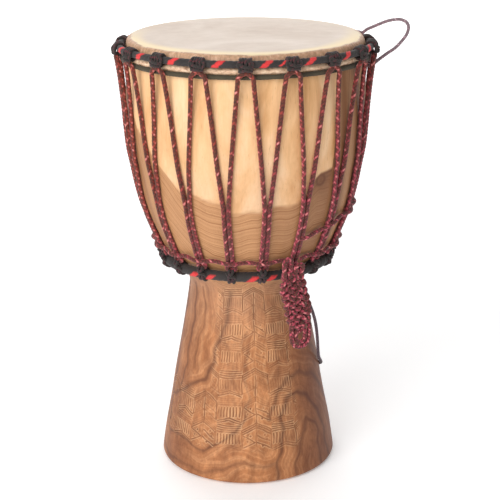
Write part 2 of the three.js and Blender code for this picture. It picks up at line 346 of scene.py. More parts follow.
def linear(red, green, blue):
    """Linear colour of 0-255 display values."""
    def one(v):
        v /= 255
        return v / 12.92 if v <= 0.04045 else ((v + 0.055) / 1.055) ** 2.4
    return (one(red), one(green), one(blue), 1.0)


def rope_material(name, dark, mid, red, pink, light):
    """Dark braid with strands that run from red, where new, to a faded pink. The light colour is a
    painted highlight on the strands' crests, and the braid is painted darker between its strands.
    """
    s = Shader(name, roughness=0.85, Sheen_Weight=0.12)
    fibre = s.noise(1400, 3, 0.6)
    patch = s.noise(75, 3, 0.6)
    # Painted shade: the braid is darker where its strands dip between their humps.
    base = s.mix(s.times("hump", 0.7), dark, mid)
    base = s.mix(s.times(patch, 0.4), base, (52, 44, 28))
    # Painted highlight: the light colour laid on the crests of the red strands.
    painted_glints = s.times("red", s.add(patch, 0.5))
    painted_glints = s.ramp(painted_glints, (0.52, 0), (0.92, 1))
    strand = s.mix(painted_glints, s.mix("faded", red, pink), light)
    colour = s.mix(s.ramp("red", (0.05, 0), (0.5, 1)), base, strand)
    colour = s.stain(0.6, colour, fibre, (0.25, 0.5), (0.75, (1.35, 1.3, 1.3)))
    return s.finish(colour, fibre, 0.35, 0.0004)


def cloth_material(name, base, highlight, stripe, stripe_light):
    """Woven strip with a bright second strip where the point value red is 1."""
    s = Shader(name, roughness=0.9, Sheen_Weight=0.1)
    weave = s.noise(1100, 3, 0.6, stretch=2.2)
    plain = s.mix(s.noise(60, 3), base, highlight)
    bright = s.mix(s.noise(260, 2), stripe, stripe_light)
    colour = s.mix("red", plain, bright)
    colour = s.stain(0.7, colour, weave, (0.3, 0.55), (0.75, 1.3))
    return s.finish(colour, weave, 0.5, 0.0005)


def wood_material():
    """Pale sapwood over brown heartwood on the bowl, and a broad flowing figure on the foot. Point
    values: heart, foot, dark, vein, groove and rim 0-1, where dark is streaky darker wood together
    with painted shade; depth and ring number the growth layers."""
    s = Shader("carved_wood", roughness=0.5, Specular_IOR_Level=0.28)
    wave = s.noise(13, 4, 0.6, 0.4, stretch=1.6)
    fine = s.noise(420, 5, 0.65, stretch=0.07)
    broad = s.noise(22, 4, 0.6, 0.5, stretch=0.35)
    pores = s.noise(900, 2, 0.5, stretch=0.10)
    mottle = s.noise(60, 5, 0.68, 0.3, stretch=0.5)
    speck = s.noise(230, 4, 0.7, stretch=0.6)

    sap = s.tones(broad, (0.30, 212, 158, 104), (0.50, 236, 190, 140), (0.72, 246, 210, 168))
    sap = s.stain(0.45, sap, fine, (0.35, (0.86, 0.84, 0.80)), (0.65, 1.05))
    # Painted shade: the sapwood darker towards its lower part, to offset the floor's bounce light.
    sap = s.mix(s.climb(0.38, 0.56), s.mix(1.0, sap, (0.86, 0.82, 0.84, 1), "MULTIPLY"), sap)

    lines = s.layers("depth", wave, 1.2, 2.6, 4, 0.72)
    heart = s.tones(lines, (0.33, 98, 58, 36), (0.41, 158, 108, 70), (0.50, 188, 139, 97),
                    (0.75, 206, 158, 114))
    heart = s.stain(0.4, heart, mottle, (0.30, (0.82, 0.80, 0.78)), (0.65, (1.08, 1.07, 1.05)))
    bowl = s.mix("heart", sap, heart)
    # The dark value darkens streaky wood on the bowl and also paints shade towards its right.
    bowl = s.mix("dark", bowl, (116, 72, 46))

    figure = s.layers("ring", wave, 1.1, 1.5, 3, 0.6)
    foot = s.tones(figure, (0.27, 136, 80, 50), (0.40, 170, 112, 72), (0.54, 188, 131, 89),
                   (0.72, 208, 154, 111))
    foot = s.stain(0.8, foot, broad, (0.32, (0.74, 0.67, 0.62)), (0.58, (1.12, 1.10, 1.06)))
    foot = s.stain(0.9, foot, mottle, (0.32, (0.62, 0.56, 0.53)), (0.62, (1.16, 1.16, 1.14)))
    foot = s.stain(0.45, foot, speck, (0.36, (0.74, 0.69, 0.66)), (0.60, (1.10, 1.10, 1.08)))
    foot = s.stain(0.35, foot, fine, (0.32, (0.76, 0.72, 0.68)), (0.62, 1.08))
    # The foot turns paler towards its top: partly a paler tone of the wood, partly painted light that lifts
    # the shade under the bowl.
    foot = s.mix(s.climb(0.19, 0.28, 0.24), foot, (222, 180, 148))
    # On the foot the dark value is painted shade only.
    foot = s.mix("dark", foot, (88, 38, 22))

    colour = s.mix("foot", bowl, foot)
    colour = s.mix("vein", colour, (84, 44, 30))
    colour = s.stain(0.5, colour, pores, (0.26, (0.55, 0.48, 0.42)), (0.36, 1.0))
    colour = s.mix(s.times("rim", 0.62), colour, (228, 182, 136))
    colour = s.mix(s.times("groove", 0.62), colour, (104, 64, 42))
    relief = s.add(s.times(fine, 0.6), s.times(pores, 0.5))
    return s.finish(colour, relief, 0.2, 0.0006, s.add(0.42, s.times(fine, 0.22)))


def skin_material():
    """Shaved hide on top, hairy below the rim, and a paler rolled edge round the flesh ring."""
    s = Shader("goatskin", roughness=0.6, Subsurface_Weight=0.08, Subsurface_Radius=(0.006, 0.003, 0.002))
    spots = s.noise(70, 4, 0.6)
    hide = s.tones(s.noise(9, 5, 0.6, 0.6), (0.32, 190, 168, 150), (0.50, 204, 186, 170),
                   (0.68, 214, 198, 184))
    hide = s.stain(0.5, hide, spots, (0.30, (0.92, 0.90, 0.88)), (0.60, 1.03))
    hide = s.mix("edge", hide, (232, 209, 164))
    strands = s.noise(240, 5, 0.7, 0.4, stretch=0.35)
    hair = s.tones(strands, (0.30, 112, 74, 54), (0.52, 184, 134, 108), (0.74, 232, 196, 166))
    hair = s.mix(s.noise(26, 3, 0.6), hair, s.mix(0.5, hair, (226, 196, 150)))
    roll = s.tones(s.noise(160, 4, 0.65, stretch=1.6), (0.28, 146, 106, 80), (0.5, 216, 180, 148),
                   (0.74, 248, 222, 194))
    colour = s.mix("hair", hide, hair)
    colour = s.mix("roll", colour, roll)
    height = s.add(s.times(spots, 0.4), s.times(strands, "hair"))
    return s.finish(colour, height, 0.25, 0.001)


def steel_material():
    s = Shader("ring_steel", roughness=0.4, Metallic=1.0)
    marks = s.noise(320, 4, 0.6)
    colour = s.ramp(marks, (0.35, (0.30, 0.29, 0.28)), (0.65, (0.50, 0.49, 0.47)))
    return s.finish(colour, marks, 0.1, 0.0003)


# --- Shell ---
COLUMNS = 960
KNOT_AZIMUTH, KNOT_Z = 38.5, 432


def outline_rows():
    """Radius and height of the shell's rows, fine on the carved foot and by the wood's knot, and how
    many of them lie outside."""
    curve = smooth_outline(OUTSIDE, 4000)
    heights = np.r_[np.linspace(0, 42, 16), np.linspace(43, 284, 268), np.linspace(288, 414, 32),
                    np.linspace(415.5, 452, 25), np.linspace(456, 598.4, 36)]
    cumulative = np.maximum.accumulate(curve[:, 1] + np.arange(4000) * 1e-7)
    rows = np.c_[np.interp(heights, cumulative, curve[:, 0]), heights]
    lip = [(150.2, 598.6), (148.0, 598.7)]
    foot = [(110.0, 0.0)]
    return np.vstack([rows, lip, smooth_outline(INSIDE, 44), foot]), len(rows)


CARVED_REPEATS, REPEAT_WIDTH, REPEAT_PITCH = 9, 72.0, 37.5
SPINE_AZIMUTH = 6.0


def carving_strokes():
    """Strokes of one repeat of the carved lattice: a hatched panel under a gable, and a pair of
    diamonds either side of a spine under triple chevrons."""
    strokes = [((1, y), (32, y)) for y in (23, 26, 29, 32)]
    strokes += [((x, 7), (x, 19.5)) for x in (2, 6, 10, 14, 18, 22, 26, 30.5)]
    for d in (0, 3):
        strokes += [((0, 0 - d), (16.5, 5.5 - d)), ((16.5, 5.5 - d), (33, 0 - d))]
    strokes += [((52.5, -8), (52.5, 27)), ((34, 1), (34, 25)), ((71, 1), (71, 25))]
    for d in (0, 3, 6):
        strokes += [((34, 26 - d), (52.5, 37 - d)), ((52.5, 37 - d), (71, 26 - d))]
    strokes += [((36, 2), (51, 11)), ((36, 19), (51, 11)), ((69, 2), (54, 11)), ((54, 20), (69, 11))]
    dots = [(41, 11), (45, 19), (60, 5), (63, 20), (66, 14)]
    return strokes, dots


def carving(azimuth, height):
    """Distance in mm from the nearest stroke on the foot, and how boldly it is cut, at each point."""
    sway = np.sin(height / 9.0 + azimuth / 7.0) + 0.6 * np.sin(height / 3.7 - azimuth / 2.9)
    height = height + 0.55 * sway + 0.5 * np.sin(azimuth / 4.1)
    azimuth = azimuth + 0.28 * sway
    u = ((azimuth - SPINE_AZIMUTH) / 360 * CARVED_REPEATS + 52.5 / REPEAT_WIDTH) % CARVED_REPEATS
    column = np.floor(u)
    x = (u - column) * REPEAT_WIDTH
    v = (height - 50.0) / REPEAT_PITCH
    row = np.floor(v)
    y = (v - row) * REPEAT_PITCH
    strokes, dots = carving_strokes()
    near = np.full(x.shape, 99.0)
    weight = np.ones(x.shape)
    for lift in (-REPEAT_PITCH, 0.0, REPEAT_PITCH):
        cell = row - round(lift / REPEAT_PITCH)
        for number, ((x0, y0), (x1, y1)) in enumerate(strokes):
            dx, dy = x1 - x0, y1 - y0
            t = np.clip(((x - x0) * dx + (y + lift - y0) * dy) / (dx * dx + dy * dy), 0, 1)
            distance = np.hypot(x - x0 - t * dx, y + lift - y0 - t * dy)
            luck = np.sin(12.9 * number + 7.7 * column + 4.1 * cell)
            closer = distance < near
            weight = np.where(closer, np.clip(0.72 + 0.55 * luck, 0.12, 1.0), weight)
            near = np.where(closer, distance, near)
        for x0, y0 in dots:
            near = np.minimum(near, np.hypot(x - x0, y + lift - y0) - 0.5)
    wander = 4 * np.sin(azimuth * TAU / 360 * 3 + 1.2) + 3 * np.sin(azimuth * TAU / 360 * 7)
    bold = band(45, 49, 278, 283, height)
    left = rise(-92, -88, azimuth + wander) * (1 - rise(-32, -28, azimuth - wander))
    right = rise(40, 44, azimuth - wander) * (1 - rise(88, 92, azimuth))
    bold = bold * (1 - left * rise(122, 130, height)) * (1 - right)
    worn = 0.82 + 0.2 * np.sin(column * 2.4 + row * 1.7) + 0.14 * np.sin(height / 5.3 + azimuth / 3.1)
    return near, bold * worn * weight


# Dark veins of the foot: path of (azimuth, height), width in mm and strength.
FOOT_VEINS = (
    ([(-82, 262), (-82, 180), (-78, 110), (-76, 62)], 5.0, 0.75),
    ([(-15, 264), (-19, 236), (-25, 197), (-29, 168), (-38, 141), (-54, 119), (-70, 102), (-92, 92)],
     4.6, 0.6),
    ([(-58, 266), (-60, 233), (-58, 198), (-60, 162), (-64, 118)], 3.4, 0.55),
    ([(-46, 264), (-44, 225), (-46, 190), (-50, 150)], 2.4, 0.35),
    ([(-96, 62), (-72, 50), (-54, 49), (-43, 43), (-32, 44), (-21, 58), (-9, 72), (0, 96)], 3.0, 0.55),
    ([(0, 96), (1, 120), (-4, 146), (2, 187), (5, 230), (4, 264)], 3.4, 0.3),
    ([(-92, 22), (-55, 12), (-34, 12), (-15, 20), (-2, 32), (12, 26), (20, 30)], 4.0, 0.45),
    ([(20, 6), (23, 63), (26, 90), (32, 112), (41, 121), (53, 111), (61, 81), (66, 40), (70, 2)],
     4.6, 0.65),
    ([(17, 92), (24, 125), (31, 140), (45, 147), (60, 135), (79, 101), (94, 60)], 5.4, 0.55),
    ([(33, 4), (40, 62), (47, 82), (55, 66), (59, 4)], 4.6, 0.5),
    ([(38, 264), (46, 225), (58, 190), (76, 160), (96, 130)], 4.0, 0.4),
)


def distance_to_path(azimuth, height, radius, path):
    """Distance in mm over the surface from each point to a path of (azimuth, height) corners."""
    near = np.full(azimuth.shape, 1e3)
    for (a0, z0), (a1, z1) in zip(path[:-1], path[1:]):
        scale = np.radians(1) * radius
        dx, dy = (a1 - a0) * scale, z1 - z0
        px, py = ((azimuth - a0 + 180) % 360 - 180) * scale, height - z0
        t = np.clip((px * dx + py * dy) / (dx * dx + dy * dy), 0, 1)
        near = np.minimum(near, np.hypot(px - t * dx, py - t * dy))
    return near


def foot_figure(azimuth, height, radius):
    """Distance from the nearest of the foot's dark veins, which the growth lines follow, and the
    strength of the veins. The same figure turned round serves the back, which the photograph hides."""
    bent = azimuth + 1.6 * np.sin(height / 13.0) + 0.8 * np.sin(height / 5.1 + azimuth / 9.0)
    lifted = height + 2.2 * np.sin(azimuth / 6.3) + 1.0 * np.sin(azimuth / 2.7 + height / 21.0)
    flow = np.full(azimuth.shape, 1e3)
    vein = np.zeros(azimuth.shape)
    for turn in (0, 184):
        for path, width, strength in FOOT_VEINS:
            near = distance_to_path(bent - turn, lifted, radius, path)
            flow = np.minimum(flow, near)
            vein = np.maximum(vein, 1.1 * strength * bell(near, 0.72 * width))
    return flow, vein


def sapwood_edge(azimuth):
    """Height of the lower edge of the pale sapwood, by azimuth."""
    table = [(-180, 640), (-84, 620), (-76, 560), (-68, 526), (-62, 492), (-46, 450), (-33, 418),
             (-21, 411), (-13, 407), (-8, 398), (6, 395), (14, 402), (20, 404), (30, 410), (33, 420),
             (35, 434), (38, 441), (42, 441), (45, 443), (46.5, 500), (48, 560), (49, 640), (180, 640)]
    return from_table(table, azimuth)


def build_shell():
    """The shell's surface with its carving and tool marks, and the point values its wood is made of."""
    rows, outer_count = outline_rows()
    r, z, az = spun(rows, (np.arange(COLUMNS) * 360 / COLUMNS + 180) % 360 - 180)
    outer = (np.arange(len(rows)) < outer_count)[:, None] & np.ones(az.shape, bool)

    near, bold = carving(az, z)
    bold = np.where(outer, bold, 0.0)
    cut = (1 - rise(0.3, 1.0, near)) * bold
    rim = band(0.8, 1.3, 1.4, 2.2, near) * bold
    a = np.radians(az)
    facet = 0.35 * np.sin(5 * a + z / 31) * np.sin(3 * a - z / 47) + 0.22 * np.sin(11 * a + z / 19)
    hand = np.where(outer, facet * band(4, 40, 560, 590, z), 0.0)
    hand = hand * (1 - 0.7 * band(262, 300, 300, 340, z))
    adze = 0.5 * np.sin(23 * a + 2.1 * np.sin(z / 17)) * np.sin(z / 6.5 + 2 * np.sin(5 * a))
    r = r + 0.8 * hand - 0.85 * cut + np.where(outer, 0.0, adze * band(2, 30, 560, 585, z))

    edge = sapwood_edge(az) + 2.0 * np.sin(az / 5.0) + 1.2 * np.sin(az / 2.3 + 1)
    below = edge - z
    heart = np.where(outer, rise(-2.5, 2.5, below), 0.85)
    foot = 1 - rise(266, 292, z)
    side = band(45, 52, 150, 175, az)
    off_knot = np.hypot((az - KNOT_AZIMUTH) * 2.65, z - KNOT_Z)
    knot = 0.8 * bell(off_knot - 6.6, 2.2) + 0.45 * bell(off_knot, 2.6)
    lip = band(34, 36, 45, 47, az) * (z > 415)
    knot = np.maximum(knot, 0.7 * bell(below - 2.6, 2.0) * lip)
    knot = np.maximum(knot, 0.4 * bell(below - 8.5, 1.8) * lip * rise(39, 42, az))
    halo = 0.4 * bell(off_knot, 19) * heart
    streaks = 0.6 + 0.4 * np.sin(az / 2.1 + z / 60)
    dark = 0.8 * side * streaks * rise(285, 310, z)
    # Painted shade: the heartwood of the bowl darkened a little all over and more towards the right, where
    # the key light falls off.
    painted_right_shade = 0.06 + 0.22 * rise(6, 17, az) + 0.27 * rise(28, 44, az)
    dark = np.maximum(dark, painted_right_shade * heart * (1 - side) * rise(295, 315, z))
    dark = np.clip(dark + halo, 0, 0.95)
    left = rise(48, 60, -az)
    dark = np.maximum(dark, 0.45 * left * heart * streaks * rise(285, 310, z))
    depth = below / 7.0 + 0.7 * np.sin(az / 13)
    depth = depth * (1 - side) + (az / 1.6 + z / 170) * side
    depth = depth * (1 - left) + (az / 3.0 + z / 60) * left

    # Painted shade: on the foot the dark value is only shade, darker towards the right and round the back,
    # and towards the left, where the key light falls off.
    painted_foot_shade = 0.68 * band(10, 64, 140, 175, az) + 0.36 * rise(18, 60, -az)
    dark = np.where(z < 280, painted_foot_shade, dark)
    flow, vein = foot_figure(az, z, r)
    ring = flow / 12.5 + az / 40 + z / 200
    attributes = {"groove": cut, "rim": rim, "heart": heart, "depth": depth, "foot": foot, "ring": ring,
                  "vein": np.where(outer, vein * foot + 0.7 * knot, 0), "dark": np.where(outer, dark, 0)}
    faces = grid_faces(len(rows), COLUMNS, True, True)
    return make_object("carved_shell", turned_points(r, z, az), faces, attributes)


# --- Skin ---
def build_skin():
    """The hide from the middle of the playing disc over the edge, round the flesh ring and back."""
    columns = 360
    disc = [(r, 600.0) for r in (0.4, 12, 28, 46, 64, 82, 100, 116, 124, 130, 135, 140, 144)]
    rim = [(147.5, 599.97), (150.4, 599.75), (152.0, 599.5), (153.4, 599.0), (155.2, 597.9),
           (156.7, 595.8), (157.7, 593.0), (158.2, 590), (158.5, 586), (158.7, 582.6)]
    roll = [(161.3 + 3.5 * math.cos(math.radians(t)), 580.4 + 3.7 * math.sin(math.radians(t)))
            for t in range(128, -130, -14)]
    under = [(158.4, 577.4), (157.6, 577.2), (157.4, 584), (156.6, 592), (153.4, 598.2), (149, 598.9)]
    inside = [(r, 598.95) for r in (120, 80, 40, 0.4)]
    profile = np.array(disc + rim + roll + under + inside)
    r, z, az = spun(profile, np.arange(columns) * 360 / columns)
    a = np.radians(az)
    index = np.arange(len(profile))[:, None]
    on_top = index < len(disc)
    on_rim = (index >= len(disc)) & (index < len(disc) + len(rim))
    on_roll = (index >= len(disc) + len(rim)) & (index < len(disc) + len(rim) + len(roll))
    lumps = 0.30 * np.sin(31 * a + 2 * np.sin(7 * a)) + 0.25 * np.sin(53 * a + 1.3) + 0.2 * np.sin(97 * a)
    z = z + np.where(on_roll, 0.7 * lumps, 0) - np.where(on_top, 0.125 * rise(70, 20, r), 0)
    r = r + np.where(on_roll, 0.48 * np.roll(lumps, 5, axis=1), 0)
    r = r + np.where(on_rim, 0.18 * np.sin(41 * a + 3 * np.sin(5 * a)) * rise(598.5, 592, z), 0)
    wavy = 152.2 + 1.1 * np.sin(6 * a + 0.7) + 0.7 * np.sin(17 * a) + 0.4 * np.sin(43 * a)
    hair = np.where(on_rim | (index >= len(disc)), rise(wavy - 0.7, wavy + 0.7, r), 0.0)
    edge = np.where(on_top | on_rim, rise(126 + 5 * np.sin(4 * a), 148, r) * (1 - hair), 0.0)
    edge = edge * (0.1 + 0.9 * rise(-0.5, 0.4, np.cos(a)))
    attributes = {"hair": hair * ~on_roll, "edge": edge, "roll": on_roll * np.ones(az.shape)}
    faces = grid_faces(len(profile), columns, False, True)[:, ::-1]
    return make_object("stretched_goatskin", turned_points(r, z, az), faces, attributes)


# --- Rings and their wraps ---
def crown_drop(azimuth):
    """How far the crown ring is pulled down below its height at the front, by azimuth."""
    table = [(-180, 5.2), (-125, 5.2), (-100, 4.0), (-80, 1.8), (-55, 0.4), (-35, 0), (55, 0), (78, 1.4),
             (95, 4.0), (112, 5.4), (180, 5.2)]
    return from_table(table, (np.asarray(azimuth) + 180) % 360 - 180)


def ring_mesh(name, r, z, surface, drop=None, attributes=None):
    """A ring whose section radius is a columns x sides array, pulled down by the drop where given."""
    columns, sides = surface.shape
    az = (np.arange(columns) * 360 / columns)[:, None]
    theta = (np.arange(sides) * TAU / sides)[None, :]
    radii = r + surface * np.cos(theta)
    heights = z + surface * np.sin(theta) - (drop(az) if drop else 0)
    faces = grid_faces(columns, sides, True, True)
    return make_object(name, turned_points(radii, heights, az), faces, attributes)


def wound_ring(name, r, z, radius, patches, seed, ridge=0.55, turns=150, drop=None):
    """Cloth strip wound round a ring. Each patch of the bright second strip is (azimuth, half
    width in degrees, lowest, highest angle round the section; 0 is outwards, positive is up)."""
    columns, sides = 1440, 24
    rng = np.random.default_rng(seed)
    az = (np.arange(columns) * 360 / columns)[:, None]
    theta = (np.arange(sides) * TAU / sides)[None, :]
    turned = (theta + math.pi) % TAU - math.pi
    twist = az - np.degrees(0.9 * radius * turned / r)
    hump = np.abs(np.sin(math.pi * twist / 360 * turns)) ** 0.6
    draws = rng.uniform(-1, 1, 90)
    wobble = np.interp(np.arange(columns), np.linspace(0, columns, 91), np.r_[draws, draws[:1]])
    red = np.zeros((columns, sides))
    degrees = np.degrees(turned)
    for centre, half, low, high in patches:
        uneven = 0.22 * np.sin(3.1 * turned + centre) + 0.16 * np.sin(6.3 * turned + 2.3 * centre)
        off = np.abs((twist - centre + uneven + 180) % 360 - 180)
        patch = 1 - rise(half * 0.8, half * 1.1, off)
        patch = patch * band(low - 12, low + 8, high - 8, high + 12, degrees)
        red = np.maximum(red, patch)
    surface = radius + ridge * (hump - 0.6) + 0.18 * wobble[:, None] + 0.45 * red
    return ring_mesh(name, r, z, surface, drop, {"red": red, "hump": hump})


def crown_patches():
    """A wide red patch between each two hitches, and here and there a narrow one beside a hitch."""
    wide = [(STEP * (k + 0.42) + 0.5 * math.sin(5 * k), 1.6, -62, 88) for k in range(HITCHES)]
    narrow = [(STEP * k - 4.6, 0.75, -30, 60) for k in (1, 6, 9, 12)]
    return wide + narrow


def bottom_patches():
    """Short red patches on the lower half of the ring, up to two between hitches."""
    patches = []
    for k in range(HITCHES):
        for shift, half in ((-3.4, 2.3), (4.6, 2.7)):
            if (k * 7 + int(shift > 0)) % 4 and k not in (2, 3, 14, 15):
                patches.append((STEP * k + shift, half, -86, 14))
    return patches


# --- Lacing ---
def outer_offset(distance):
    """The shell's outside moved out along its normal: arrays of radius and height, low to high."""
    smooth = smooth_outline(OUTSIDE[3:], 600)
    direction = np.gradient(smooth, axis=0)
    direction /= np.linalg.norm(direction, axis=1)[:, None]
    normal = np.c_[direction[:, 1], -direction[:, 0]]
    return smooth + normal * distance


LEG_OFFSET = outer_offset(ROPE_RADIUS + 0.25)
# Heights where a leg leaves its hitch and where it meets its neighbour, and half of their spacing
# below that and at the hitch.
LEG_TOP, MEETING = 574.5, 400.0
PAIR_HALF = ROPE_RADIUS + 0.1
TOP_HALF = 9.2


def leg_points(crown_azimuth, side):
    """One leg of lacing, top to bottom, leaving its crown hitch on the given side (-1 or 1)."""
    lying = LEG_OFFSET[(LEG_OFFSET[:, 1] > 316) & (LEG_OFFSET[:, 1] < 500)][::-1][::12]
    profile = np.vstack([[170.9, 573.0], [169.8, 566], [168.0, 553], [166.0, 533], [164.2, 513], lying])
    meet = STEP / 2 - math.degrees(PAIR_HALF / 150)
    points = []
    for r, z in profile:
        share = (LEG_TOP - z) / (LEG_TOP - MEETING)
        top = math.degrees(TOP_HALF / 170.4)
        angle = top + (meet - top) * share if share < 1 else STEP / 2 - math.degrees(PAIR_HALF / r)
        pulled = crown_drop(crown_azimuth) * rise(510, 575, z)
        points.append(place(crown_azimuth + side * angle, r, z - pulled))
    bottom = crown_azimuth + side * STEP / 2
    points.append(place(bottom, BOTTOM_EYE_R + 0.8, BOTTOM_EYE_Z + 3.6, -side * 5.4))
    return points


def crown_run(azimuth):
    """The rope's short run through a crown hitch, arched up in the middle."""
    z = CROWN_EYE_Z + 0.6 - crown_drop(azimuth)
    return [place(azimuth, CROWN_EYE_R + 1.0, z - 0.075 * t * t, t) for t in (-7.0, -3.6, 0, 3.6, 7.0)]


def bottom_run(azimuth):
    """The rope's short run through a bottom hitch, sagging in the middle."""
    return [place(azimuth, BOTTOM_EYE_R, BOTTOM_EYE_Z + abs(t) * 0.3, t) for t in (-3.4, 3.4)]


def build_lacing():
    points = [place(TAIL_AZIMUTH, BOTTOM_EYE_R, BOTTOM_EYE_Z, 0.8), bottom_run(TAIL_AZIMUTH)[1]]
    for k in range(HITCHES):
        azimuth = TAIL_AZIMUTH + (k + 0.5) * STEP
        points += leg_points(azimuth, -1)[::-1]
        points += crown_run(azimuth)
        points += leg_points(azimuth, 1)
        if k < HITCHES - 1:
            points += bottom_run(azimuth + STEP / 2)
    points += [bottom_run(TAIL_AZIMUTH)[0], place(TAIL_AZIMUTH, BOTTOM_EYE_R, BOTTOM_EYE_Z, -0.8)]
    line = catmull(points, 9000)
    return make_object("braided_lacing", *braided(line, ROPE_RADIUS, pitch=4.9))


def weaving(azimuth):
    """How far out a woven row lies: 1 over each pair of legs, -1 between two pairs."""
    return math.cos(math.radians((azimuth - STEP / 2) * HITCHES))


def build_weave():
    """The row of rope over the pairs of legs just above the bottom ring, dipping in between them."""
    points = []
    for azimuth in np.arange(TAIL_AZIMUTH + 3, TAIL_AZIMUTH + 357.1, 2.5):
        phase = weaving(azimuth)
        points.append(place(azimuth, 127.4 + 2.2 * phase, 322.0 - 0.7 * phase))
    line = catmull(points, 1700)
    return make_object("woven_row", *braided(line, WEAVE_RADIUS))


def build_second_weave():
    """A short second row on the right, climbing away from the tail, both ends tucked under a pair."""
    points = []
    for azimuth in np.arange(30, 110.6, 3.0):
        height = 353 + 18 * rise(26, 62, azimuth)
        phase = weaving(azimuth)
        tucked = 1 - rise(30, 34, azimuth) + rise(103, 109, azimuth)
        low = LEG_OFFSET[np.argmin(np.abs(LEG_OFFSET[:, 1] - height))]
        points.append(place(azimuth, low[0] + 3.0 + 2.2 * phase - 6.0 * tucked, height - 1.0))
    line = catmull(points, 560)
    return make_object("second_woven_row", *braided(line, WEAVE_RADIUS))


# --- Hitches ---
def local_to_world(local, azimuth, r, z):
    """Points given as (sideways, outwards, up) about a ring's centre, put in place."""
    sideways, out, up = np.array(local, float).T
    return place(azimuth, r + out, z + up, sideways).T


def over_ring(x_front, x_top, x_back, eye):
    """One turn of cord from the eye under the crown ring, over the ring and back down behind it."""
    return [(x_front * 0.55, 6.2, eye), (x_front * 0.8, 6.8, -4.4), (x_front, 6.6, 0.6), (x_top, 4.7, 4.7),
            (x_top, 0.4, 6.5), (x_back, -4.4, 4.6), (x_back, -6.4, -0.4), (x_back * 0.7, -4.4, -5.2),
            (x_back * 0.5, 0.6, -8.2), (x_front * 0.4, 5.4, eye - 0.6)]


# Turns of cord in each hitch: points (sideways, outwards, up) about the ring's centre.
CROWN_TURNS = (
    over_ring(-9.0, -6.4, -5.2, -7.6), over_ring(-4.6, -3.3, -2.6, -8.4), over_ring(0.2, -0.2, 0.0, -7.4),
    over_ring(4.6, 3.2, 2.6, -8.4), over_ring(8.8, 6.4, 5.2, -7.6),
    [(-7.8, 5.4, -7.4), (-5.0, 8.6, -6.4), (0.0, 9.8, -5.9), (5.0, 8.6, -6.5), (7.6, 5.4, -7.4)],
    [(-8.4, 6.0, 2.6), (-4.6, 8.9, -0.6), (0.6, 9.8, -2.2), (5.4, 8.9, -3.0), (8.8, 6.0, -3.2)],
)
BOTTOM_TURNS = (
    [(-2.6, 6.8, 4.6), (-2.9, 7.6, -2.4), (-3.1, 3.0, -7.1), (-3.0, -3.0, -6.9), (-2.6, -7.2, -1.6),
     (-2.3, -4.6, 5.6), (-2.0, 0.0, 7.9), (-1.8, 5.4, 6.8)],
    [(2.0, 6.8, 4.4), (2.2, 7.7, -2.6), (2.5, 2.6, -7.6), (2.4, -3.2, -7.0), (2.2, -7.2, -1.4),
     (1.9, -4.4, 5.8), (1.7, 0.2, 7.9), (1.6, 5.6, 6.6)],
    [(-5.4, 5.6, 6.4), (-3.4, 8.9, 4.0), (0.0, 10.2, 3.0), (3.4, 8.9, 2.6), (5.0, 6.0, 0.2),
     (3.8, 3.0, -3.6)],
    [(-2.2, 8.6, 12.0), (-2.8, 10.6, 8.6), (0.0, 11.4, 6.4), (2.8, 10.6, 8.6), (2.2, 8.6, 12.0)],
    [(-3.6, 4.0, -4.0), (-1.8, 7.4, -4.2), (1.4, 7.6, -4.4), (3.6, 4.2, -4.4)],
)


def hitch_piece(name, turns, azimuth, r, z, seed):
    """One knot of black cord: every turn is a braided tube, each hitch tied a little differently."""
    rng = np.random.default_rng(seed)
    parts = []
    for turn in turns:
        loose = np.array(turn, float)
        loose = loose * (1 + rng.uniform(-0.05, 0.05, 3)) + rng.uniform(-0.42, 0.42, loose.shape)
        line = local_to_world(catmull(loose, 44), azimuth, r, z)
        parts.append(braided(line, CORD_RADIUS, sides=12, pitch=3.0, depth=0.3, red=False))
    return make_object(name, *join_parts(parts))


def build_hitches():
    pieces = []
    for k in range(HITCHES):
        label = f"{k + 1:02d}"
        height = CROWN_Z - crown_drop(k * STEP)
        crown = hitch_piece(f"crown_knot_{label}", CROWN_TURNS, k * STEP, CROWN_R, height, 100 + k)
        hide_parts(f"crown_hitch_{label}")
        low = hitch_piece(f"bottom_knot_{label}", BOTTOM_TURNS, (k + 0.5) * STEP, BOTTOM_R, BOTTOM_Z,
                          200 + k)
        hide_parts(f"bottom_hitch_{label}")
        pieces += [crown, low]
    return pieces


# --- Rope tail ---
PLAIT_TOP, PLAIT_END = 303.0, 229.0
PLAIT_WIDTH, PLAIT_DEPTH, PLAIT_PERIOD = 13.6, 3.3, 63.0
EYE_Z, EYE_OUTER, EYE_INNER = 213.6, 13.8, 7.2
PASSES = 6


def plait_point(strand, share):
    """A strand of the flat six-strand plait: it zigzags from edge to edge, over one, under one."""
    phase = strand / PASSES + share * (PLAIT_TOP - PLAIT_END) / PLAIT_PERIOD
    zigzag = math.asin(0.985 * math.cos(TAU * phase)) / math.asin(0.985)
    width = PLAIT_WIDTH * (1.0 + 0.34 * math.sin(math.pi * share ** 0.8))
    depth = PLAIT_DEPTH * math.tanh(2.2 * math.sin(TAU * 5 * phase))
    height = PLAIT_TOP - (PLAIT_TOP - PLAIT_END) * share
    loose = math.sin(height / 4.3 + 2.1 * strand), math.sin(height / 6.1 + 3.7 * strand)
    return (width * zigzag + 0.9 * loose[0], depth + 0.7 * loose[1], height + 1.2 * loose[1])


def leaning(points):
    """Tail points (sideways, outwards, height) shifted sideways, because the tail hangs askew."""
    return [(x - 9.5 + 14.5 * rise(322, EYE_Z, z), y, z) for x, y, z in points]


